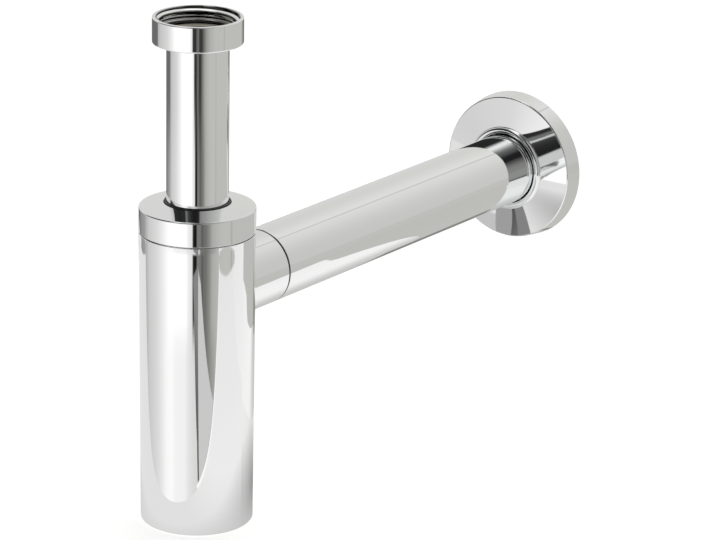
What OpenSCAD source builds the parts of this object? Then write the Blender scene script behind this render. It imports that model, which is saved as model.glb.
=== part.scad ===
// Chromed bottle trap for a wash basin, with a straight outlet tube and a wall flange.
// Units are millimetres. +Z is up, and the outlet runs along +Y to the wall.
// The origin is on the inlet axis, at the seat of the basin waste: the washer's top face.

/* [Inlet nut] */
// Outside diameter of the inlet nut
nut_od = 46.4; // [45.6:0.1:50]
// Height of the inlet nut
nut_h = 13.5; // [12:0.5:16]
// Diameter of the inlet thread at the bottom of its grooves
inlet_thread_d = 42; // [41.9:0.1:42.4]
// Thickness of the shoulder that carries the tube's flange
nut_shoulder = 1.5; // [1.4:0.1:3]
// Diameter of the relief below the thread, beside the washer
nut_relief_d = 42.6; // [42.4:0.1:43]

/* [Inlet tube] */
// Outside diameter of the inlet tube
inlet_d = 32; // [31.8:0.1:32.2]
// Wall of the inlet tube
inlet_wall = 1; // [0.8:0.1:1.5]
// Diameter of the flange at the top of the inlet tube
collar_d = 38.4; // [36:0.2:40]
// Thickness of that flange
collar_t = 1; // [0.8:0.1:2]
// Length of the tube that shows between the nut and the cap
show_len = 86.3; // [82:0.1:110]
// Length of the tube from its top face to its lower end
inlet_len = 219.4; // [205:0.2:228]

/* [Cap ring] */
// Outside diameter of the cap and of the top of the cup
cap_od = 60.2; // [59.6:0.1:62]
// Height of the cap
cap_h = 13.1; // [12.6:0.1:14]
// Thickness of the cap's top
cap_top_t = 3; // [2.8:0.1:3.2]
// Diameter of the hole that the tube passes through
cap_hole_d = 33.6; // [33.4:0.1:35]
// Open seam between the cap and the cup
seam_gap = 0.5; // [0.3:0.1:0.8]

/* [Cup] */
// Length of the cup below the seam
cup_len = 157; // [150:1:180]
// Outside diameter of the cup at its bottom
cup_bottom_d = 58.8; // [57:0.1:60]
// Wall of the cup
cup_wall = 1.8; // [1.5:0.1:2.4]
// Outside diameter of the threaded neck under the cap
neck_od = 55; // [54.6:0.1:55.6]
// Radius of the edge at the bottom of the cup
foot_edge = 1.2; // [0.6:0.1:3]

/* [Outlet] */
// Outside diameter of the branch and of the outlet tube
outlet_d = 40; // [39.6:0.1:40.4]
// Depth of the outlet axis below the cap's top face
outlet_drop = 46.4; // [42:0.2:60]
// Distance from the cup's axis to the end of the branch
branch_end = 52; // [46:0.5:60]
// Thickness of the dark seal between the branch and the tube
branch_seal_t = 1.2; // [1:0.1:1.6]
// Wall of the outlet tube
outlet_wall = 1.2; // [1:0.1:1.6]
// How far the tube runs behind the wall flange
wall_end = 20; // [12:1:60]
// Depth of the turned line that marks how far the tube goes into the wall socket
mark_depth = 0.4; // [0.3:0.1:0.6]

/* [Wall flange] */
// Distance from the cup's axis to the flange's front face
flange_front = 284; // [180:1:330]
// Diameter of the flange at the wall
flange_od = 85; // [80:0.5:95]
// Diameter of the flange at the edge of its front face
flange_front_d = 82.4; // [78:0.2:94]
// Depth of the flange from the front face to the wall
flange_depth = 10.5; // [9:0.5:15]
// How far the conical front face rises from its edge to the neck
flange_rise = 2.3; // [0:0.1:4]
// Outside diameter of the flange's rounded neck
flange_neck_d = 48.4; // [47:0.1:54]
// How far the neck's tip stands before the edge of the front face
flange_neck_len = 4.5; // [4:0.1:9]
// Sheet thickness of the flange
flange_t = 1.4; // [1.2:0.1:2]

/* [Hidden] */

$fn = 96;
// A cutter reaches this far past the face that it opens
over = 1;
// Radial clearance of a running fit, and of a loose one
fit = 0.05;
loose = 0.3;

chrome = [0.82, 0.83, 0.84];
rubber = [0.08, 0.08, 0.08];
nylon = [0.9, 0.89, 0.85];

// Heights of the stack inside the inlet nut
washer_t = 1.4;
slip_t = 0.6;
collar_top = -washer_t;
collar_bottom = collar_top - collar_t;
shoulder_top = collar_bottom - slip_t;
nut_bottom = shoulder_top - nut_shoulder;
nut_top = nut_bottom + nut_h;

inlet_r = inlet_d / 2;
inlet_bore = inlet_r - inlet_wall;

// Heights of the cap and the cup
cap_top = nut_bottom - show_len;
cap_bottom = cap_top - cap_h;
cap_ceiling = cap_top - cap_top_t;
cup_top = cap_bottom - seam_gap;
cup_bottom = cup_top - cup_len;
cup_floor_t = 2.6;
neck_r = neck_od / 2;
neck_wall = 2;
neck_top = cap_ceiling - 3.4;

// Rings under the cap, from the top down
slip_ring_t = 1.5;
seal_top = cap_ceiling - slip_ring_t;
seal_h = 8.6;
seal_top_r = 22.4;
seal_foot_r = 17.4;
seal_rim_t = 1.2;
seal_ribs = 3;
gasket_t = 1;
carrier_rim_t = 1.2;
carrier_h = 13;
carrier_r = neck_r - neck_wall - 0.1;
carrier_wall = 1.6;
guide_wall = 2.4;
wiper_lip = 0.2;
wiper_flange_r = cap_hole_d / 2 + 1;
wiper_low = cap_top - 2;
wiper_high = cap_top - 1;

// The outlet, measured along its own axis from the cup's axis
outlet_z = cap_top - outlet_drop;
outlet_r = outlet_d / 2;
tube_start = branch_end + branch_seal_t;
tube_end = flange_front + flange_depth + wall_end;
mark_start = flange_front + flange_depth + 2;
mark_w = 1;
branch_bore = outlet_r - 1.8;
water_way = 15.8;
spigot_r = branch_bore - loose;
spigot_end = 34;
ring_groove = 1.6;
ring_floor_r = spigot_r - 1.2;
ring_places = [38, 45];
tube_root = 3;

// The flange, measured from the tip of its neck
flange_tip = flange_front - flange_neck_len;
neck_edge = 1.9;
hub_len = 6.2;
grip_t = 1.8;
grip_w = 2.4;
grip_start = 2.4;

// Removes the corner at point p of an outline. The corner points along angle a plus 45 degrees.
module corner_cut(p, a, r)
    translate(p) rotate(a) translate([-r, -r]) difference() {
        square(r + 0.02);
        circle(r, $fn = 48);
    }

// Removes the corner at point p of an outline whose two edges leave p along the angles a and b
module edge_cut(p, a, b, r) {
    half = (b - a) / 2;
    reach = r / tan(half);
    translate(p) rotate(a + half) difference() {
        polygon([[-0.05, 0], reach * [cos(half), -sin(half)] - [0, 0.02],
                 reach * [cos(half), sin(half)] + [0, 0.02]]);
        translate([r / sin(half), 0]) circle(r, $fn = 96);
    }
}

// Rounds an inside corner at point p, between two walls that leave it along angle a and a plus 90
module corner_fill(p, a, r)
    translate(p) rotate(a) difference() {
        square(r);
        translate([r, r]) circle(r, $fn = 48);
    }

// Outline of a plain ring: inner and outer radius, low and high end
module ring_outline(r_in, r_out, low, high)
    translate([r_in, low]) square([r_out - r_in, high - low]);

// A plain ring with its four edges rounded
module soft_ring(r_in, r_out, low, high, r)
    rotate_extrude() difference() {
        ring_outline(r_in, r_out, low, high);
        corner_cut([r_out, high], 0, r);
        corner_cut([r_in, high], 90, r);
        corner_cut([r_in, low], 180, r);
        corner_cut([r_out, low], 270, r);
    }

// Lays a shape that was drawn about +Z along the outlet's axis
module along_outlet()
    translate([0, 0, outlet_z]) rotate([-90, 0, 0]) children();

// Union nut that draws the tube's flange up to the basin waste
module inlet_nut()
    color(chrome) rotate_extrude() difference() {
        ring_outline(inlet_r + loose, nut_od / 2, nut_bottom, nut_top);
        ring_outline(0, nut_relief_d / 2, shoulder_top, 0);
        ring_outline(0, inlet_thread_d / 2, -over, nut_top + over);
        polygon([[inlet_thread_d / 2 - over, nut_top + over], [inlet_thread_d / 2 - over, nut_top - 1.4],
                 [inlet_thread_d / 2, nut_top - 0.5], [inlet_thread_d / 2 + 0.5, nut_top],
                 [inlet_thread_d / 2 + 0.5, nut_top + over]]);
        corner_cut([nut_od / 2, nut_top], 0, 0.5);
        corner_cut([nut_od / 2, nut_bottom], 270, 0.8);
        corner_cut([inlet_r + loose, nut_bottom], 180, 0.4);
    }

// Thin ring that the nut turns on, and that grips the tube so that a loose nut stays up
module nut_slip_ring()
    color(nylon) soft_ring(inlet_r + fit, collar_d / 2, shoulder_top, collar_bottom, 0.2);

// Flat washer between the tube's flange and the basin waste
module inlet_washer()
    color(nylon) soft_ring(inlet_bore, collar_d / 2 + 0.6, collar_top, 0, 0.3);

// Tube from the nut down through the cap into the water, with a turned-out flange at its top
module inlet_tube()
    color(chrome) rotate_extrude() difference() {
        union() {
            ring_outline(inlet_bore, inlet_r, collar_top - inlet_len, collar_top);
            ring_outline(inlet_bore, collar_d / 2, collar_bottom, collar_top);
        }
        corner_cut([collar_d / 2, collar_top], 0, 0.3);
        corner_cut([collar_d / 2, collar_bottom], 270, 0.3);
        corner_cut([inlet_bore, collar_top], 90, 0.5);
        corner_cut([inlet_r, collar_top - inlet_len], 270, 0.4);
    }

// Ring that screws onto the cup's neck and presses the tube's seal
module cap_ring()
    color(chrome) rotate_extrude() difference() {
        ring_outline(cap_hole_d / 2, cap_od / 2, cap_bottom, cap_top);
        translate([0, cap_bottom - over]) square([neck_r + fit, cap_ceiling - cap_bottom + over]);
        ring_outline(cap_hole_d / 2 - over, wiper_flange_r, wiper_low, wiper_high);
        corner_cut([cap_hole_d / 2, cap_top], 90, 0.4);
        corner_cut([cap_od / 2, cap_top], 0, 0.5);
        corner_cut([cap_od / 2, cap_bottom], 270, 0.25);
        polygon([[neck_r, cap_bottom - over], [neck_r + 0.6, cap_bottom - over],
                 [neck_r + 0.6, cap_bottom], [neck_r + fit, cap_bottom + 0.55], [neck_r, cap_bottom + 0.55]]);
    }

// Dark wiper ring snapped into the cap's hole, its lip just proud of the cap round the tube
module tube_wiper()
    color(rubber) rotate_extrude() difference() {
        union() {
            ring_outline(inlet_r + fit, cap_hole_d / 2 - fit, cap_ceiling + fit, cap_top + wiper_lip);
            ring_outline(inlet_r + fit, wiper_flange_r - fit, wiper_low + fit, wiper_high - fit);
        }
        corner_cut([cap_hole_d / 2 - fit, cap_top + wiper_lip], 0, 0.4);
        corner_cut([inlet_r + fit, cap_top + wiper_lip], 90, 0.1);
    }

// Hard ring between the cap's ceiling and the soft seal
module slip_ring()
    color(nylon) soft_ring(inlet_r + 0.1, seal_top_r, seal_top, cap_ceiling, 0.25);

// Soft tapered ring that the cap squeezes against the tube
module cone_seal()
    color(rubber) rotate_extrude() difference() {
        polygon([[inlet_r + fit, seal_top - seal_h], [seal_foot_r, seal_top - seal_h],
                 [seal_top_r, seal_top - seal_rim_t], [seal_top_r, seal_top], [inlet_r + fit, seal_top]]);
        for (k = [0 : seal_ribs - 1])
            translate([inlet_r + fit, seal_top - 2.2 - 2.1 * k]) circle(0.5, $fn = 24);
    }

// Insert in the cup's mouth, with the tapered seat of the seal and a guide for the tube
module seal_carrier()
    color(nylon) rotate_extrude() difference() {
        union() {
            ring_outline(inlet_r + loose, carrier_r, neck_top + gasket_t - carrier_h, neck_top + gasket_t);
            ring_outline(inlet_r + loose, neck_r - 0.1, neck_top + gasket_t,
                         neck_top + gasket_t + carrier_rim_t);
        }
        polygon([[0, seal_top - seal_h - fit], [seal_foot_r + fit, seal_top - seal_h - fit],
                 [seal_top_r + fit, seal_top - seal_rim_t], [seal_top_r + fit, cap_top], [0, cap_top]]);
        ring_outline(seal_foot_r + guide_wall, carrier_r - carrier_wall, neck_top - carrier_h,
                     seal_top - seal_h + fit);
    }

// Flat gasket between the insert's rim and the cup's neck
module carrier_gasket()
    color(rubber) soft_ring(neck_r - neck_wall, neck_r - 0.2, neck_top, neck_top + gasket_t, 0.2);

// Outline of the cup's outside, with the threaded neck above its shoulder
module cup_outside()
    difference() {
        union() {
            polygon([[0, cup_bottom], [cup_bottom_d / 2, cup_bottom], [cap_od / 2, cup_top], [0, cup_top]]);
            ring_outline(0, neck_r, cup_top - over, neck_top);
        }
        corner_cut([cup_bottom_d / 2, cup_bottom], 270, foot_edge);
        corner_cut([cap_od / 2, cup_top], 0, 0.25);
        corner_cut([neck_r, neck_top], 0, 0.6);
    }

// Outline of the water space: a tapered bore with a rounded floor, and the mouth in the neck
module cup_inside() {
    difference() {
        polygon([[0, cup_bottom + cup_floor_t], [cup_bottom_d / 2 - cup_wall, cup_bottom + cup_floor_t],
                 [cap_od / 2 - cup_wall, cup_top - 6], [neck_r - neck_wall, cup_top - 2], [0, cup_top - 2]]);
        corner_fill([cup_bottom_d / 2 - cup_wall, cup_bottom + cup_floor_t], 90, 3);
    }
    ring_outline(0, neck_r - neck_wall, cup_top - 2 - over, neck_top + over);
}

// Cup that holds the water, with its outlet branch
module trap_body()
    color(chrome) difference() {
        union() {
            rotate_extrude() cup_outside();
            along_outlet() rotate_extrude() difference() {
                ring_outline(0, outlet_r, 0, branch_end);
                corner_cut([outlet_r, branch_end], 0, 0.25);
            }
        }
        rotate_extrude() cup_inside();
        along_outlet() {
            cylinder(r = water_way, h = branch_end);
            translate([0, 0, spigot_end - over]) cylinder(r = branch_bore, h = branch_end);
        }
    }

// Dark flat ring that shows between the branch and the outlet tube
module branch_seal()
    color(rubber) along_outlet() soft_ring(branch_bore, outlet_r - 0.4, branch_end, tube_start, 0.15);

// Sealing ring in a groove of the tube's spigot, at distance y from the cup's axis
module spigot_ring(y)
    color(rubber) along_outlet()
        soft_ring(ring_floor_r + fit, branch_bore - fit, y + 0.1, y + ring_groove - 0.1, 0.4);

module inner_o_ring() spigot_ring(ring_places[0]);
module outer_o_ring() spigot_ring(ring_places[1]);

// Straight tube to the wall, with a narrower spigot that pushes into the branch
module outlet_tube()
    color(chrome) along_outlet() rotate_extrude() difference() {
        union() {
            ring_outline(water_way, spigot_r, spigot_end, tube_start + tube_root);
            ring_outline(outlet_r - outlet_wall, outlet_r, tube_start, tube_end);
            ring_outline(water_way, outlet_r, tube_start, tube_start + tube_root);
        }
        for (y = ring_places)
            ring_outline(ring_floor_r, spigot_r + over, y, y + ring_groove);
        polygon([[water_way - over, tube_start - 0.5], [water_way, tube_start - 0.5],
                 [outlet_r - outlet_wall, tube_start + tube_root],
                 [water_way - over, tube_start + tube_root + over]]);
        corner_cut([spigot_r, spigot_end], 270, 0.5);
        corner_cut([outlet_r, tube_start], 270, 0.25);
        ring_outline(outlet_r - mark_depth, outlet_r + over, mark_start, mark_start + mark_w);
        corner_cut([outlet_r, tube_end], 0, 0.4);
    }

// Outline of the flange's pressed shell: a rounded neck, a shallow cone and a slightly flared side
module flange_outline() {
    front_r = flange_front_d / 2;
    neck_r = flange_neck_d / 2;
    back = flange_front + flange_depth;
    apex = flange_front - flange_rise * front_r / (front_r - neck_r);
    face_angle = atan(flange_rise / (front_r - neck_r));
    side_angle = atan2(flange_depth, (flange_od - flange_front_d) / 2);
    difference() {
        union() {
            difference() {
                polygon([[0, apex], [front_r, flange_front], [flange_od / 2, back], [0, back]]);
                polygon([[0, apex + flange_t], [front_r - flange_t, flange_front + flange_t],
                         [flange_od / 2 - flange_t, back + over / 2], [0, back + over / 2]]);
            }
            ring_outline(0, neck_r, flange_tip, flange_tip + hub_len);
        }
        ring_outline(0, outlet_r + loose, apex - over, back);
        edge_cut([front_r, flange_front], side_angle, 180 + face_angle, 0.8);
        corner_cut([neck_r, flange_tip], 270, neck_edge);
        corner_cut([outlet_r + loose, flange_tip], 180, neck_edge);
        ring_outline(outlet_r, outlet_r + grip_t, flange_tip + grip_start,
                     flange_tip + grip_start + grip_w);
    }
}

// Round cover over the hole in the wall
module wall_flange()
    color(chrome) along_outlet() rotate_extrude() flange_outline();

// Ring inside the flange's neck that holds it where it is slid on the tube
module flange_grip_ring()
    color(rubber) along_outlet()
        soft_ring(outlet_r + fit, outlet_r + grip_t - fit, flange_tip + grip_start + 0.1,
                  flange_tip + grip_start + grip_w - 0.1, 0.5);

inlet_nut();
nut_slip_ring();
inlet_washer();
inlet_tube();
cap_ring();
tube_wiper();
slip_ring();
cone_seal();
seal_carrier();
carrier_gasket();
trap_body();
branch_seal();
inner_o_ring();
outer_o_ring();
outlet_tube();
wall_flange();
flange_grip_ring();
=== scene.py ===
"""Looks of the chromed bottle trap: polished plating, black rubber and white nylon in a studio."""

import bpy
import numpy as np
from mathutils import Matrix, Vector


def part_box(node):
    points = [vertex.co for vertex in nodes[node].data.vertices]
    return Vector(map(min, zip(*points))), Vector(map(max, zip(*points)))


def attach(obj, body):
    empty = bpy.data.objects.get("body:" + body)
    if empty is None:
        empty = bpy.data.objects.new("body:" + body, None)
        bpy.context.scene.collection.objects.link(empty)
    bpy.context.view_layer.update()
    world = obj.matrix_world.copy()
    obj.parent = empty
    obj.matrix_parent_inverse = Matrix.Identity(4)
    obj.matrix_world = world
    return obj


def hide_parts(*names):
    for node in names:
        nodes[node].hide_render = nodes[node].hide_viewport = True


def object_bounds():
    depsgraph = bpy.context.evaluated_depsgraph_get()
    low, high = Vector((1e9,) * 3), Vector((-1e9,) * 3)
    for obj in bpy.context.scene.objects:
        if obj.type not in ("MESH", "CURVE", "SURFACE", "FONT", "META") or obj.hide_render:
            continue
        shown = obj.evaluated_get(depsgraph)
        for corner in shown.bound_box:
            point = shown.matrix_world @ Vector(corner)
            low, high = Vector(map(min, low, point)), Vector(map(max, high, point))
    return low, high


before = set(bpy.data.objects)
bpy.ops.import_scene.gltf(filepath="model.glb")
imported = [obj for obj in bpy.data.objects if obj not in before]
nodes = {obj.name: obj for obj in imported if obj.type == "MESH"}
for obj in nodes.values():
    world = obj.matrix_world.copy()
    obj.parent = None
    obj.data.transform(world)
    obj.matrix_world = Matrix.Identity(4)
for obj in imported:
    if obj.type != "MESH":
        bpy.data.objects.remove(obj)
cad_low, cad_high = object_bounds()
scene = bpy.context.scene

# Camera
# A long lens looks down past the cup, with the outlet running away to the upper right.
# Its place and lens were fitted to the outlines of the pieces in the photograph.
YAW, TILT, ROLL = np.radians([36.14, 18.65, 1.02])
LOOKED_AT = Vector((0, 0.13998, -0.16219))
DISTANCE = 1.969
SENSOR = 36
PICTURE_WIDTH = 716
FOCAL_PIXELS = 3600
ahead = Vector((-np.sin(YAW) * np.cos(TILT), np.cos(YAW) * np.cos(TILT), -np.sin(TILT)))
level = Vector((np.cos(YAW), np.sin(YAW), 0))
upright = level.cross(ahead)
image_right = level * np.cos(ROLL) + upright * np.sin(ROLL)
image_up = upright * np.cos(ROLL) - level * np.sin(ROLL)
camera_data = bpy.data.cameras.new("camera")
camera_data.lens = FOCAL_PIXELS / PICTURE_WIDTH * SENSOR
camera_data.sensor_width = SENSOR
camera_data.clip_start = 0.05
camera_data.clip_end = 50
camera = bpy.data.objects.new("camera", camera_data)
scene.collection.objects.link(camera)
turn = Matrix((image_right, image_up, -ahead)).transposed().to_4x4()
camera.matrix_world = Matrix.Translation(LOOKED_AT - ahead * DISTANCE) @ turn
scene.camera = camera
scene.view_settings.view_transform = "Standard"

# Studio
# Soft walls of light stand all round, with a dark gap where the camera looks through. The world
# carries them, band above band, and the camera sees plain white.
CAMERA_SIDE = np.degrees(YAW) - 90
LIGHT = 1.12
NEUTRAL = (1.013, 1.0, 0.985)
WARM = (1.013, 1.005, 0.943)
CREAM = (1.013, 1.0, 0.96)
# Grey levels of each band by bearing in degrees. The bearings run from behind over the left
# softbox, the camera's gap at 0 and the grey wall on the right.
TABLE = [(-180, 0.1), (-130, 0.35), (-107, 0.58), (-92, 0.645), (-81, 0.71), (-71, 0.81), (-62, 0.92),
         (-50, 0.96), (-41, 0.88), (-22, 0.87), (-18, 0.81), (-12, 0.74), (-5, 0.7), (6, 0.66), (9, 0.16),
         (20, 0.16), (45, 0.47), (60, 0.5), (180, 0.5)]
CUP_LEVEL = [(-180, 0.1), (-150, 0.17), (-143, 0.255), (-134, 0.29), (-125, 0.315), (-118, 0.43),
             (-107, 0.58), (-92, 0.645), (-81, 0.71), (-71, 0.81), (-61, 0.93), (-56, 1.01), (-19, 1.01),
             (-14.5, 0.83), (-7.6, 0.77), (-5.9, 0.02), (0.2, 0.004), (3, 0.2), (9, 0.17), (12.5, 0.09),
             (15, 0.16), (18.5, 0.15), (27, 0.27), (32, 0.4), (47, 0.475), (60, 0.5), (71, 0.49),
             (73.5, 0.36), (76, 0.49), (144, 0.48), (150, 0.41), (180, 0.25)]
TUBE_LEVEL = [(-180, 0.2), (-150, 0.14), (-122, 0.14), (-118.5, 0.17), (-114.5, 0.47), (-103, 0.56),
              (-91, 0.61), (-81, 0.66), (-71, 0.77), (-62, 0.91), (-57, 1.01), (-18.5, 1.01),
              (-14.5, 0.87), (-11.8, 0.83), (-10.3, 0.04), (-3, 0.025), (0.5, 0.13), (4, 0.16), (7, 0.04),
              (13, 0.04), (17, 0.14), (19, 0.17), (24, 0.3), (33, 0.42), (46, 0.49), (70, 0.495),
              (72, 0.38), (74, 0.5), (142, 0.49), (150, 0.3), (156, 0.17), (180, 0.17)]
EYE_LEVEL = [(-180, 0.57), (-150, 0.55), (-95, 0.6), (-82, 0.62), (-67, 0.68), (-60, 0.8), (-53, 0.97),
             (-40, 0.97), (-27, 0.5), (-15, 0.62), (-5, 0.55), (4, 0.3), (16, 0.28), (60, 0.44),
             (97, 0.485), (105, 0.51), (130, 0.54), (180, 0.57)]
ABOVE_EYES = [(-180, 0.625), (-168, 0.645), (-125, 0.61), (-116, 0.5), (-112, 0.03), (-80, 0.02),
              (-52, 0.025), (-47, 0.17), (-43, 0.17), (-38, 0.06), (-25, 0.025), (-14, 0.012), (7, 0.015),
              (11, 0.1), (15, 0.24), (60, 0.42), (97, 0.53), (105, 0.555), (115, 0.61), (125, 0.66),
              (138.9, 0.7), (141.2, 0.47), (143.5, 0.72), (150, 0.71), (161, 0.67), (173, 0.63),
              (180, 0.62)]
HIGH = [(-180, 0.665), (-130, 0.66), (-118, 0.5), (-110, 0.1), (-84, 0.1), (-75, 0.23), (-65, 0.36),
        (-57, 0.87), (-48, 0.84), (-35, 0.4), (-25, 0.18), (-15, 0.1), (-5, 0.055), (7, 0.04), (14, 0.2),
        (60, 0.4), (97, 0.58), (112, 0.61), (127, 0.67), (138.9, 0.72), (141.2, 0.5), (143.5, 0.72),
        (157, 0.68), (180, 0.665)]
OVERHEAD = [(-180, 1.0), (-95, 1.0), (-70, 0.95), (-40, 0.85), (-25, 0.1), (95, 0.08), (115, 0.5),
            (140, 1.0), (180, 1.0)]
# Each band above the table: the heights, as sines of the elevation, between which it fades in over
# the one below, how much that edge rises towards the camera's side, the tint of its right half, and
# its grey levels.
BANDS = ((-0.352, -0.34, 0, WARM, CUP_LEVEL),
         (-0.297, -0.27, 0, WARM, TUBE_LEVEL),
         (-0.235, -0.16, 0, WARM, EYE_LEVEL),
         (-0.06, 0.02, 0.12, CREAM, ABOVE_EYES),
         (0.65, 0.73, 0, NEUTRAL, HIGH),
         (0.87, 0.95, 0, NEUTRAL, OVERHEAD))


def shader_nodes(owner):
    """Clears the owner's node tree and returns its calls for a new node and a new link."""
    owner.use_nodes = True
    owner.node_tree.nodes.clear()
    return owner.node_tree.nodes.new, owner.node_tree.links.new


def mapped(new, low, high, to_low=0.0, to_high=1.0):
    """Adds a node that maps the span from low to high onto the span from to_low to to_high."""
    span = new("ShaderNodeMapRange")
    span.inputs["From Min"].default_value = low
    span.inputs["From Max"].default_value = high
    span.inputs["To Min"].default_value = to_low
    span.inputs["To Max"].default_value = to_high
    return span


def tone_ramp(new, stops):
    """Adds a colour ramp with (place, red, green, blue) stops."""
    ramp = new("ShaderNodeValToRGB")
    elements = ramp.color_ramp.elements
    elements.remove(elements[-1])
    for i, (place, *tone) in enumerate(stops):
        element = elements[0] if i == 0 else elements.new(place)
        element.position = place
        element.color = (*tone, 1)
    return ramp


def band_of_light(new, link, place, tint, tones):
    """Adds the ramp of one band, neutral on the left and tinted on the right, and returns its colour."""
    stops = [(degrees / 360 + 0.5, tone, tint if degrees > 0 else NEUTRAL) for degrees, tone in tones]
    ramp = tone_ramp(new, [(spot, *(tone * c for c in colour)) for spot, tone, colour in stops])
    link(place.outputs[0], ramp.inputs[0])
    return ramp.outputs[0]


world = bpy.data.worlds.new("studio")
scene.world = world
new, link = shader_nodes(world)
direction = new("ShaderNodeTexCoord")
swing = new("ShaderNodeVectorRotate")
swing.rotation_type = "Z_AXIS"
swing.inputs["Angle"].default_value = -np.radians(CAMERA_SIDE)
parts = new("ShaderNodeSeparateXYZ")
bearing = new("ShaderNodeMath")
bearing.operation = "ARCTAN2"
place = mapped(new, -np.pi, np.pi)
link(direction.outputs["Generated"], swing.inputs["Vector"])
link(swing.outputs[0], parts.inputs[0])
link(parts.outputs["Y"], bearing.inputs[0])
link(parts.outputs["X"], bearing.inputs[1])
link(bearing.outputs[0], place.inputs["Value"])
walls = band_of_light(new, link, place, WARM, TABLE)
for fade_low, fade_high, rise, tint, tones in BANDS:
    height = new("ShaderNodeMath")
    height.operation = "MULTIPLY_ADD"
    height.inputs[1].default_value = -rise
    fade = mapped(new, fade_low, fade_high)
    fade.interpolation_type = "SMOOTHSTEP"
    upward = new("ShaderNodeMix")
    upward.data_type = "RGBA"
    link(parts.outputs["X"], height.inputs[0])
    link(parts.outputs["Z"], height.inputs[2])
    link(height.outputs[0], fade.inputs["Value"])
    link(fade.outputs[0], upward.inputs["Factor"])
    link(walls, upward.inputs["A"])
    link(band_of_light(new, link, place, tint, tones), upward.inputs["B"])
    walls = upward.outputs["Result"]
ray = new("ShaderNodeLightPath")
studio_light = new("ShaderNodeBackground")
studio_light.inputs["Strength"].default_value = LIGHT
plain_white = new("ShaderNodeBackground")
plain_white.inputs["Color"].default_value = (1, 1, 1, 1)
pick = new("ShaderNodeMixShader")
link(walls, studio_light.inputs["Color"])
link(ray.outputs["Is Camera Ray"], pick.inputs[0])
link(studio_light.outputs[0], pick.inputs[1])
link(plain_white.outputs[0], pick.inputs[2])
link(pick.outputs[0], new("ShaderNodeOutputWorld").inputs[0])

# Floor and boards
# The cup stands over a pale floor that keeps its shadow. Polished metal sees the white board that
# lies on it, cut off straight before and behind the object, the cards at its front, and the darker
# foot of a stand below the flange.
# The boards' glow is painted light and shade: it falls off to the left, dips under the outlet tube and dims
# close behind the cup.
FLOOR = cad_low.z - 0.0005
LAYER = 0.0003
FLOOR_TONE = 0.8
FLOOR_GLOW = 0.68
SHADE_CENTRE = (0.0, 0.06, FLOOR)
SHADE_REACH = 0.103
SHADE_LEVEL = 0.32
BOARD_LEFT = -0.452
BOARD_RIGHT = 0.416
BOARD_FRONT = -0.072
BOARD_SPLIT = 0.157
# Each sheet: its layer above the floor, its name, its corners (x, y), and its grey levels by x, which on
# the boards paint light and shade.
SHEETS = (
    # The front board's grey levels fall off to the left: painted light falloff.
    (1, "front_board",
     [(BOARD_LEFT, BOARD_FRONT), (0.44, BOARD_FRONT), (0.434, -0.01), (0.43, 0.035), (0.421, 0.125),
      (BOARD_RIGHT, BOARD_SPLIT), (BOARD_LEFT, BOARD_SPLIT)],
     [(-0.03, 0.735), (0.03, 0.74), (0.07, 0.79), (0.11, 0.83), (0.2, 0.81), (0.44, 0.775)]),
    # The rear board's grey levels dip from x -0.16 to 0.04: painted shade of the outlet tube on the board.
    (1, "rear_board",
     [(BOARD_LEFT, BOARD_SPLIT), (BOARD_RIGHT, BOARD_SPLIT), (0.411, 0.185), (0.428, 0.205),
      (0.408, 0.275), (0.385, 0.318), (0.35, 0.338), (0.31, 0.33), (0.22, 0.336), (0.19, 0.33),
      (0.165, 0.31), (0.142, 0.299), (0.076, 0.306), (0, 0.315), (BOARD_LEFT, 0.27)],
     [(-0.2, 0.74), (-0.16, 0.53), (-0.04, 0.52), (0, 0.6), (0.02, 0.69), (0.04, 0.79), (0.06, 0.87),
      (0.1, 0.88), (0.2, 0.85), (0.42, 0.79)]),
    (2, "board_edge",
     [(0.06, -0.0765), (0.45, -0.0715), (0.45, -0.066), (0.06, -0.0705)],
     [(0, 0.94)]),
    (2, "grey_card",
     [(0.064, -0.076), (0.205, -0.0775), (0.277, -0.236), (0.301, -0.295), (0.288, -0.347)],
     [(0, 0.57)]),
    (3, "dark_card",
     [(0.066, -0.0765), (0.071, -0.0765), (0.148, -0.168), (0.214, -0.251), (0.297, -0.347),
      (0.224, -0.371), (0.185, -0.276), (0.134, -0.183), (0.1, -0.123)],
     [(0.06, 0.08), (0.12, 0.12), (0.17, 0.16), (0.22, 0.23)]),
    (2, "stand_plate",
     [(-0.098, 0.177), (-0.126, 0.145), (-0.094, 0.128), (-0.078, 0.174)],
     [(0, 0.33)]),
    (2, "stand_gap",
     [(-0.078, 0.174), (-0.094, 0.128), (-0.089, 0.128), (-0.068, 0.17)],
     [(-0.092, 0.06), (-0.07, 0.16)]),
    (2, "stand_foot",
     [(-0.068, 0.17), (-0.091, 0.128), (-0.08, 0.107), (-0.055, 0.1585)],
     [(0, 0.22)]),
    # tube_shade is a dark sheet that paints the outlet tube's shadow on the board.
    (2, "tube_shade",
     [(-0.1, 0.29), (-0.032, 0.29), (-0.022, 0.42), (-0.1, 0.42)],
     [(0, 0.22)]))


def flat_sheet(name, corners, lift=0.0):
    """A flat face through the corners (x, y), lying at the floor's height plus lift."""
    mesh = bpy.data.meshes.new(name)
    mesh.from_pydata([(x, y, FLOOR + lift) for x, y in corners], [], [range(len(corners))])
    sheet = bpy.data.objects.new(name, mesh)
    scene.collection.objects.link(sheet)
    return sheet


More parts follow.
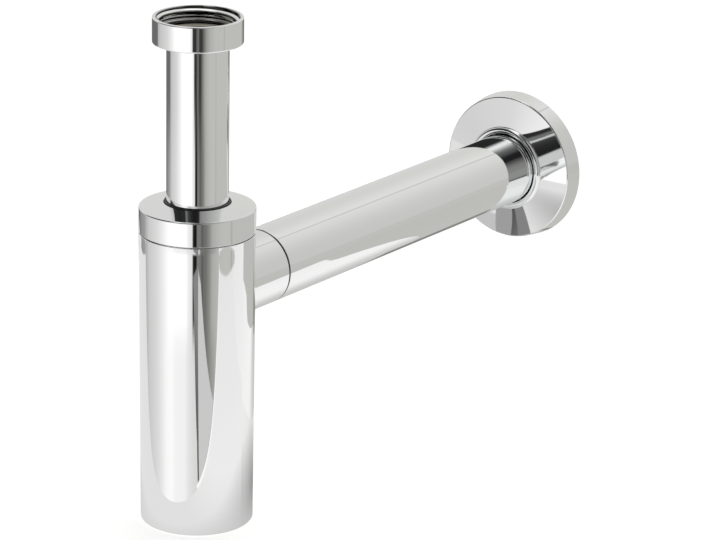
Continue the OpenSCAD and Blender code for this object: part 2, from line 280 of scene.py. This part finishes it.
def pale_paper(name, tone, glow):
    """Matt paper; for the camera alone a glow is added, as where a background burns out."""
    material = bpy.data.materials.new(name)
    new, link = shader_nodes(material)
    paper = new("ShaderNodeBsdfDiffuse")
    paper.inputs["Color"].default_value = (tone, tone, tone, 1)
    light = new("ShaderNodeEmission")
    light.inputs["Strength"].default_value = glow
    both = new("ShaderNodeAddShader")
    ray = new("ShaderNodeLightPath")
    by_ray = new("ShaderNodeMixShader")
    link(paper.outputs[0], both.inputs[0])
    link(light.outputs[0], both.inputs[1])
    link(ray.outputs["Is Camera Ray"], by_ray.inputs[0])
    link(paper.outputs[0], by_ray.inputs[1])
    link(both.outputs[0], by_ray.inputs[2])
    link(by_ray.outputs[0], new("ShaderNodeOutputMaterial").inputs[0])
    return material


def glowing_paper(name, tones):
    """Glowing paper, its grey level set by (x, grey) stops along the board, on the walls' scale: painted
    light and shade.

    Close behind the cup, where the object keeps the light off, it is dimmed by painted shade."""
    material = bpy.data.materials.new(name)
    new, link = shader_nodes(material)
    where = new("ShaderNodeTexCoord")
    axes = new("ShaderNodeSeparateXYZ")
    along = mapped(new, -0.5, 0.5)
    shade = tone_ramp(new, [(x + 0.5, *(tone * c for c in NEUTRAL)) for x, tone in tones])
    apart = new("ShaderNodeVectorMath")
    apart.operation = "DISTANCE"
    apart.inputs[1].default_value = SHADE_CENTRE
    painted_dimming = mapped(new, 0, SHADE_REACH, to_low=LIGHT * SHADE_LEVEL, to_high=LIGHT)
    light = new("ShaderNodeEmission")
    link(where.outputs["Object"], apart.inputs[0])
    link(apart.outputs["Value"], painted_dimming.inputs["Value"])
    link(painted_dimming.outputs[0], light.inputs["Strength"])
    link(where.outputs["Object"], axes.inputs[0])
    link(axes.outputs["X"], along.inputs["Value"])
    link(along.outputs[0], shade.inputs[0])
    link(shade.outputs[0], light.inputs["Color"])
    link(light.outputs[0], new("ShaderNodeOutputMaterial").inputs[0])
    return material


floor = flat_sheet("floor", [(-4, -4), (4, -4), (4, 6), (-4, 6)])
floor.data.materials.append(pale_paper("pale_floor", FLOOR_TONE, FLOOR_GLOW))
floor.visible_glossy = False
for layer, name, corners, tones in SHEETS:
    sheet = flat_sheet(name, corners, LAYER * layer)
    sheet.data.materials.append(glowing_paper(name + "_paper", tones))
    sheet.visible_camera = False
    sheet.visible_diffuse = False
    sheet.visible_shadow = False
    sheet.visible_transmission = False

# Inlet nut
# A round union nut of turned brass, plated and polished, that draws the tube up to the waste.
# Its thread is cut in its bore, a 55 degree form with a pitch of 2.309 mm, with painted shade in its roots.
PLATE = (0.983, 1.0, 1.008)
POLISH = 0.9
NUT_BORE = 0.021
CREST = 0.0195
THREAD_WALL = NUT_BORE + 0.0001
PITCH = 0.002309
THREAD_START, THREAD_STOP, THREAD_STEP = np.radians([-35, 1020, 3])
RUN_OUT = 0.7
# Height of the thread at bearing 0; its crest passes 2 mm above the nut's seat at 126 degrees.
THREAD_HEIGHT = 0.002 - PITCH * 126 / 360


def noise(new, link, where, scale, detail=2):
    """Adds noise over the piece and returns its value."""
    texture = new("ShaderNodeTexNoise")
    texture.inputs["Scale"].default_value = scale
    texture.inputs["Detail"].default_value = detail
    link(where.outputs["Object"], texture.inputs["Vector"])
    return texture.outputs["Fac"]


def relief_of(new, link, value, strength, depth):
    """Adds a relief that the value raises."""
    relief = new("ShaderNodeBump")
    relief.inputs["Strength"].default_value = strength
    relief.inputs["Distance"].default_value = depth
    link(value, relief.inputs["Height"])
    return relief


def plated_chrome(name, shade_by_radius=((0, 1), (0.1, 1)), flare=None):
    """Polished plating: a mirror whose roughness and level vary very slightly, as buffing leaves it.

    The radius stops (radius, share of light) round the Z axis are painted shade, darker in the thread's
    roots. flare gives (start, end, height): between those z the skin swells out to that height by its
    square."""
    material = bpy.data.materials.new(name)
    new, link = shader_nodes(material)
    metal = new("ShaderNodeBsdfPrincipled")
    metal.inputs["Metallic"].default_value = 1
    where = new("ShaderNodeTexCoord")
    flat = new("ShaderNodeVectorMath")
    flat.operation = "MULTIPLY"
    flat.inputs[1].default_value = (1, 1, 0)
    from_axis = new("ShaderNodeVectorMath")
    from_axis.operation = "LENGTH"
    reach = shade_by_radius[-1][0]
    spread = mapped(new, 0, reach)
    plating_and_shade = tone_ramp(new, [(r / reach, *(POLISH * share * c for c in PLATE)) for r, share in shade_by_radius])
    haze = mapped(new, 0, 1, to_low=0.015, to_high=0.05)
    ripple = relief_of(new, link, noise(new, link, where, scale=60), strength=0.04, depth=0.0002)
    link(where.outputs["Object"], flat.inputs[0])
    link(flat.outputs[0], from_axis.inputs[0])
    link(from_axis.outputs["Value"], spread.inputs["Value"])
    link(spread.outputs[0], plating_and_shade.inputs[0])
    link(plating_and_shade.outputs[0], metal.inputs["Base Color"])
    link(noise(new, link, where, scale=25, detail=4), haze.inputs["Value"])
    link(haze.outputs[0], metal.inputs["Roughness"])
    link(ripple.outputs[0], metal.inputs["Normal"])
    if flare:
        start, end, rise = flare
        up = new("ShaderNodeSeparateXYZ")
        climb = mapped(new, start, end)
        square = new("ShaderNodeMath")
        square.operation = "POWER"
        square.inputs[1].default_value = 2
        swell = relief_of(new, link, square.outputs[0], strength=1, depth=rise)
        link(where.outputs["Object"], up.inputs[0])
        link(up.outputs["Z"], climb.inputs["Value"])
        link(climb.outputs[0], square.inputs[0])
        link(swell.outputs[0], ripple.inputs["Normal"])
    link(metal.outputs[0], new("ShaderNodeOutputMaterial").inputs[0])
    return material


def finish(node, material):
    """Gives a CAD node its material."""
    nodes[node].data.materials.clear()
    nodes[node].data.materials.append(material)


def grid_mesh(name, points, close_u=True, close_v=False):
    """Makes a closed skin of quads from points[i, j], with i going round (u) and j along (v).

    Where u isn't closed, the first and last rows are filled as end faces."""
    n, m = points.shape[:2]
    i, j = np.meshgrid(np.arange(n if close_u else n - 1), np.arange(m if close_v else m - 1),
                       indexing="ij")
    i2, j2 = (i + 1) % n, (j + 1) % m
    faces = np.stack([i * m + j, i2 * m + j, i2 * m + j2, i * m + j2], -1).reshape(-1, 4).tolist()
    if not close_u:
        faces += [list(range(m)), list(range((n - 1) * m, n * m))[::-1]]
    mesh = bpy.data.meshes.new(name)
    mesh.from_pydata(points.reshape(-1, 3).tolist(), [], faces)
    mesh.polygons.foreach_set("use_smooth", np.ones(len(mesh.polygons), bool))
    made = bpy.data.objects.new(name, mesh)
    scene.collection.objects.link(made)
    return made


def helix_points(start, stop, height, pitch, profile, wall):
    """Points (r cos t, r sin t, height + pitch t / 2 pi + z) for t from start to stop and (r, z) on
    the profile; both ends sink into the wall."""
    t = np.linspace(start, stop, int((stop - start) / THREAD_STEP))[:, None]
    grow = np.clip(np.minimum(t - start, stop - t) / RUN_OUT, 0.02, 1)
    r = wall + (profile[:, 0] - wall) * grow
    z = height + pitch * t / (2 * np.pi) + profile[:, 1] * grow
    return np.stack([r * np.cos(t), r * np.sin(t), z], -1)


# Upper half of the thread's outline (r, z): its flank stands near 27.5 degrees off the level plane.
upper_half = np.array([(THREAD_WALL, 0.00108), (NUT_BORE - 0.0001, 0.00098), (NUT_BORE - 0.0002, 0.00092),
                       (CREST + 0.0003, 0.00039), (CREST + 0.0002, 0.00032), (CREST, 0.0002)])
outline = np.concatenate([upper_half, upper_half[::-1] * (1, -1)])
# The plating darkens round the radius of the thread's roots: painted shade in the bore's recesses.
nut_plating = plated_chrome("nut_plating", shade_by_radius=[
    (0, 1), (NUT_BORE - 0.0003, 1), (NUT_BORE - 0.00015, 0.15), (NUT_BORE + 0.0002, 0.1),
    (NUT_BORE + 0.0006, 1), (0.03, 1)])
finish("inlet_nut", nut_plating)
thread = grid_mesh("nut_thread", helix_points(THREAD_START, THREAD_STOP, THREAD_HEIGHT, PITCH, outline,
                                              THREAD_WALL), close_u=False, close_v=True)
thread.data.materials.append(nut_plating)
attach(thread, "nut")


# Washer, slip rings and the cup's insert
# Moulded nylon and fibre: satin, slightly uneven in tone, with the fine grain of the mould.
def moulded(name, tone, grain=900):
    """Satin plastic with a faint drift of tone and a fine mould grain."""
    material = bpy.data.materials.new(name)
    new, link = shader_nodes(material)
    plastic = new("ShaderNodeBsdfPrincipled")
    plastic.inputs["Roughness"].default_value = 0.45
    where = new("ShaderNodeTexCoord")
    tones = tone_ramp(new, [(0.3, *(c * 0.93 for c in tone)), (0.7, *tone)])
    relief = relief_of(new, link, noise(new, link, where, scale=grain), strength=0.25, depth=0.0001)
    link(noise(new, link, where, scale=120), tones.inputs[0])
    link(tones.outputs[0], plastic.inputs["Base Color"])
    link(relief.outputs[0], plastic.inputs["Normal"])
    link(plastic.outputs[0], new("ShaderNodeOutputMaterial").inputs[0])
    return material


nylon = moulded("white_nylon", (0.86, 0.85, 0.8))
for part in ("nut_slip_ring", "slip_ring", "seal_carrier"):
    finish(part, nylon)
finish("inlet_washer", moulded("washer_fibre", (0.8, 0.77, 0.68), grain=500))

# Inlet tube
# Drawn brass tube, plated outside and at its mouth, that slides up and down in the cap.
finish("inlet_tube", plated_chrome("inlet_tube_plating"))

# Cap ring
# A turned ring that screws onto the cup and squeezes the seal round the tube. Its top is drawn up
# to a very flat cone round the tube; under it the cap has the plain form of the solid.
CONE = 0.0026
HOLE = 0.0172
NECK = 0.02755
ROOF = 0.003
ARC_POINTS = 6
EDGE_HOLD = 0.00004
SEGMENTS = 192
# Radii of the cap's outline: the two outer edges, the cone's rim, the ceiling's two and the skirt's.
CAP_ROUNDS = [0.00025, 0.0008, 0.0005, 0.0002, 0.0003, 0.0003]


def rounded_outline(corners, radii):
    """Closed outline (r, z) through the corners, each replaced by an arc of its radius.

    The arc's centre stands radius / sin(half the corner's angle) along the bisector; short runs
    next to the arcs keep the faces between them flat."""
    corners, radii = np.array(corners, float), np.array(radii, float)[:, None]
    before, after = np.roll(corners, 1, 0) - corners, np.roll(corners, -1, 0) - corners
    before /= np.linalg.norm(before, axis=1, keepdims=True)
    after /= np.linalg.norm(after, axis=1, keepdims=True)
    half = np.arccos(np.clip((before * after).sum(1, keepdims=True), -1, 1)) / 2
    middle = before + after
    middle /= np.linalg.norm(middle, axis=1, keepdims=True)
    centre = corners + middle * radii / np.sin(half)
    reach = radii / np.tan(half)
    start, stop = corners + before * reach - centre, corners + after * reach - centre
    sweep = (np.pi - 2 * half)[:, None, :]
    part = np.linspace(0, 1, ARC_POINTS)[None, :, None]
    arc = np.sin((1 - part) * sweep) * start[:, None] + np.sin(part * sweep) * stop[:, None]
    rows = np.concatenate([(corners + before * (reach + EDGE_HOLD))[:, None],
                           centre[:, None] + arc / np.sin(sweep),
                           (corners + after * (reach + EDGE_HOLD))[:, None]], 1)
    return rows.reshape(-1, 2)


def turned(name, outline):
    """A turned ring: points (r cos t, r sin t, z) for t round the axis and (r, z) on the outline."""
    t = np.linspace(0, 2 * np.pi, SEGMENTS, endpoint=False)[:, None]
    r, z = outline[None, :, 0], outline[None, :, 1]
    return grid_mesh(name, np.stack([r * np.cos(t), r * np.sin(t), z + 0 * t], -1), close_v=True)


cap_low, cap_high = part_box("cap_ring")
cap_ceiling = cap_high.z - ROOF
cone_rim = cap_high.z + CONE
cap = turned("cap_shape", rounded_outline(
    [(cap_high.x, cap_low.z), (cap_high.x, cap_high.z), (HOLE, cone_rim), (HOLE, cap_ceiling),
     (NECK, cap_ceiling), (NECK, cap_low.z)], CAP_ROUNDS))
cap_plating = plated_chrome("cap_plating")
cap.data.materials.append(cap_plating)
finish("cap_ring", cap_plating)
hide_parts("cap_ring")
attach(cap, "cap")

# Rubber seals
# Moulded black rubber with a dull bloom. Only the cap's lip and the ring at the branch show; the
# lip is carried up to the mouth of the cap's cone.
LIP_BORE = 0.01606
LIP_OUTSIDE = HOLE - 0.0001
LIP_ROUND = 0.0002
lip_top = cone_rim + 0.0004
rubber = moulded("black_rubber", (0.018, 0.018, 0.019), grain=1400)
for part in ("tube_wiper", "cone_seal", "carrier_gasket", "branch_seal", "inner_o_ring", "outer_o_ring",
             "flange_grip_ring"):
    finish(part, rubber)
lip = turned("wiper_lip", rounded_outline(
    [(LIP_OUTSIDE, cap_ceiling), (LIP_OUTSIDE, lip_top), (LIP_BORE, lip_top), (LIP_BORE, cap_ceiling)],
    [LIP_ROUND] * 4))
lip.data.materials.append(rubber)
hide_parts("tube_wiper")
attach(lip, "wiper")

# Cup with its branch
# A deep drawn cup with the branch brazed in flush, polished and plated as one piece. Polishing
# has left its mouth a little proud, by less than a tenth of a millimetre.
SWELL_LENGTH = 0.0062
SWELL_HEIGHT = 0.00008
cup_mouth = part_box("cap_ring")[0].z
finish("trap_body", plated_chrome("cup_plating", flare=(cup_mouth - SWELL_LENGTH, cup_mouth, SWELL_HEIGHT)))

# Outlet tube
# A straight plated tube to the wall, with a turned spigot that pushes into the branch.
finish("outlet_tube", plated_chrome("outlet_plating"))

# Wall flange
# A pressed and polished cover with a rounded neck that slides along the tube to the wall.
finish("wall_flange", plated_chrome("flange_plating"))
